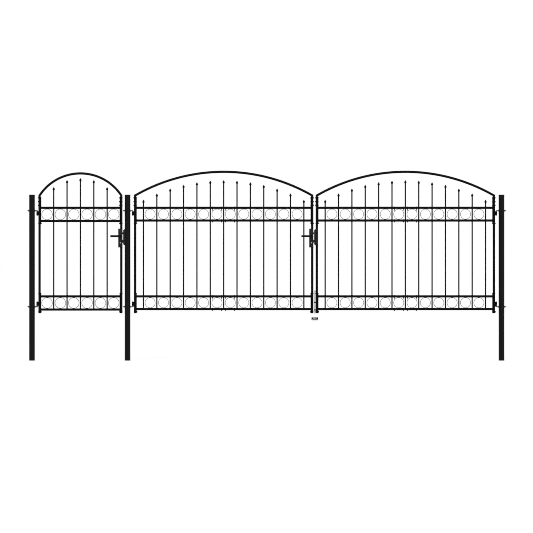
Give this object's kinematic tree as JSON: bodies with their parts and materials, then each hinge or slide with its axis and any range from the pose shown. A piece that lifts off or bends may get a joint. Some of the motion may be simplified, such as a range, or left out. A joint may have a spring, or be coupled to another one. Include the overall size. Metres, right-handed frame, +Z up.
{
  "type": "driveway gate with pedestrian gate",
  "caption": "Arched tubular steel gate set: a pedestrian leaf and a pair of driveway leaves with ring bands and tipped pickets, hinged on round posts, with locks and a drop bolt.",
  "frame": {"origin": "centre of the middle post's foot", "axes": "+X along the row towards the right post, +Y to the side that the leaves open to, +Z up"},
  "size_m": [5.049, 0.115, 2.0033],
  "materials": {
    "post_black": "satin black powder coat",
    "leaf_black": "satin black powder coat",
    "lock_black": "satin black powder coat",
    "lever_black": "smooth satin black",
    "cap_black": "moulded black plastic",
    "zinc": "zinc plated",
    "hinge_steel": "dark zinc plated",
    "socket_zinc": "dull zinc plated",
    "nickel": "satin nickel"
  },
  "bodies": {
    "posts": {"left_post": "post_black", "centre_post": "post_black", "right_post": "post_black", "post_caps": "cap_black", "hinge_bolts": "hinge_steel", "pedestrian_keeper": "lock_black", "ground_socket": "socket_zinc", "socket_shoulders": "cap_black"},
    "pedestrian_leaf": {"pedestrian_arch": "leaf_black", "pedestrian_stiles": "leaf_black", "pedestrian_end_plates": "leaf_black", "pedestrian_rails": "leaf_black", "pedestrian_pickets": "leaf_black", "pedestrian_finials": "leaf_black", "pedestrian_rings": "leaf_black", "pedestrian_hinge_eyes": "leaf_black", "pedestrian_lock_case": "lock_black", "pedestrian_key_cylinder": "nickel"},
    "pedestrian_lever": {"pedestrian_lever": "lever_black"},
    "pedestrian_latch": {"pedestrian_latch": "lock_black"},
    "pedestrian_dead_bolt": {"pedestrian_dead_bolt": "lock_black"},
    "left_leaf": {"left_arch": "leaf_black", "left_stiles": "leaf_black", "left_end_plates": "leaf_black", "left_rails": "leaf_black", "left_pickets": "leaf_black", "left_finials": "leaf_black", "left_rings": "leaf_black", "left_hinge_eyes": "leaf_black", "driveway_lock_case": "lock_black", "driveway_key_cylinder": "nickel"},
    "driveway_lever": {"driveway_lever": "lever_black"},
    "driveway_latch": {"driveway_latch": "lock_black"},
    "driveway_dead_bolt": {"driveway_dead_bolt": "lock_black"},
    "right_leaf": {"right_arch": "leaf_black", "right_stiles": "leaf_black", "right_end_plates": "leaf_black", "right_rails": "leaf_black", "right_pickets": "leaf_black", "right_finials": "leaf_black", "right_rings": "leaf_black", "right_hinge_eyes": "leaf_black", "driveway_keeper": "lock_black", "drop_bolt_guides": "leaf_black"},
    "drop_bolt": {"drop_bolt": "zinc"}
  },
  "joints": [
    {"name": "pedestrian_swing", "type": "hinge", "parent": "posts", "child": "pedestrian_leaf", "pos_m": [-0.9515, 0, 0.567], "axis": [0, 0, 1], "range_deg": [0, 105]},
    {"name": "pedestrian_lever_turn", "type": "hinge", "parent": "pedestrian_leaf", "child": "pedestrian_lever", "pos_m": [-0.076, 0, 1.312], "axis": [0, -1, 0], "range_deg": [0, 40], "stiffness_Nm_per_rad": 1.5, "springref_deg": -17.19},
    {"name": "pedestrian_latch_slide", "type": "slide", "parent": "pedestrian_leaf", "child": "pedestrian_latch", "axis": [-1, 0, 0], "range_m": [0, 0.0061]},
    {"name": "pedestrian_dead_bolt_slide", "type": "slide", "parent": "pedestrian_leaf", "child": "pedestrian_dead_bolt", "axis": [1, 0, 0], "range_m": [0, 0.011]},
    {"name": "left_swing", "type": "hinge", "parent": "posts", "child": "left_leaf", "pos_m": [0.0565, 0, 0.567], "axis": [0, 0, 1], "range_deg": [0, 105]},
    {"name": "driveway_lever_turn", "type": "hinge", "parent": "left_leaf", "child": "driveway_lever", "pos_m": [1.938, 0, 1.312], "axis": [0, -1, 0], "range_deg": [0, 40], "stiffness_Nm_per_rad": 1.5, "springref_deg": -17.19},
    {"name": "driveway_latch_slide", "type": "slide", "parent": "left_leaf", "child": "driveway_latch", "axis": [-1, 0, 0], "range_m": [0, 0.0061]},
    {"name": "driveway_dead_bolt_slide", "type": "slide", "parent": "left_leaf", "child": "driveway_dead_bolt", "axis": [1, 0, 0], "range_m": [0, 0.011]},
    {"name": "right_swing", "type": "hinge", "parent": "posts", "child": "right_leaf", "pos_m": [3.8885, 0, 0.567], "axis": [0, 0, -1], "range_deg": [0, 105]},
    {"name": "drop_bolt_slide", "type": "slide", "parent": "right_leaf", "child": "drop_bolt", "axis": [0, 0, -1], "range_m": [0, 0.05]}
  ],
  "couplings": [
    {"joint": "pedestrian_latch_slide", "follows": "pedestrian_lever_turn", "m_per_rad": 0.0087},
    {"joint": "driveway_latch_slide", "follows": "driveway_lever_turn", "m_per_rad": 0.0087}
  ]
}
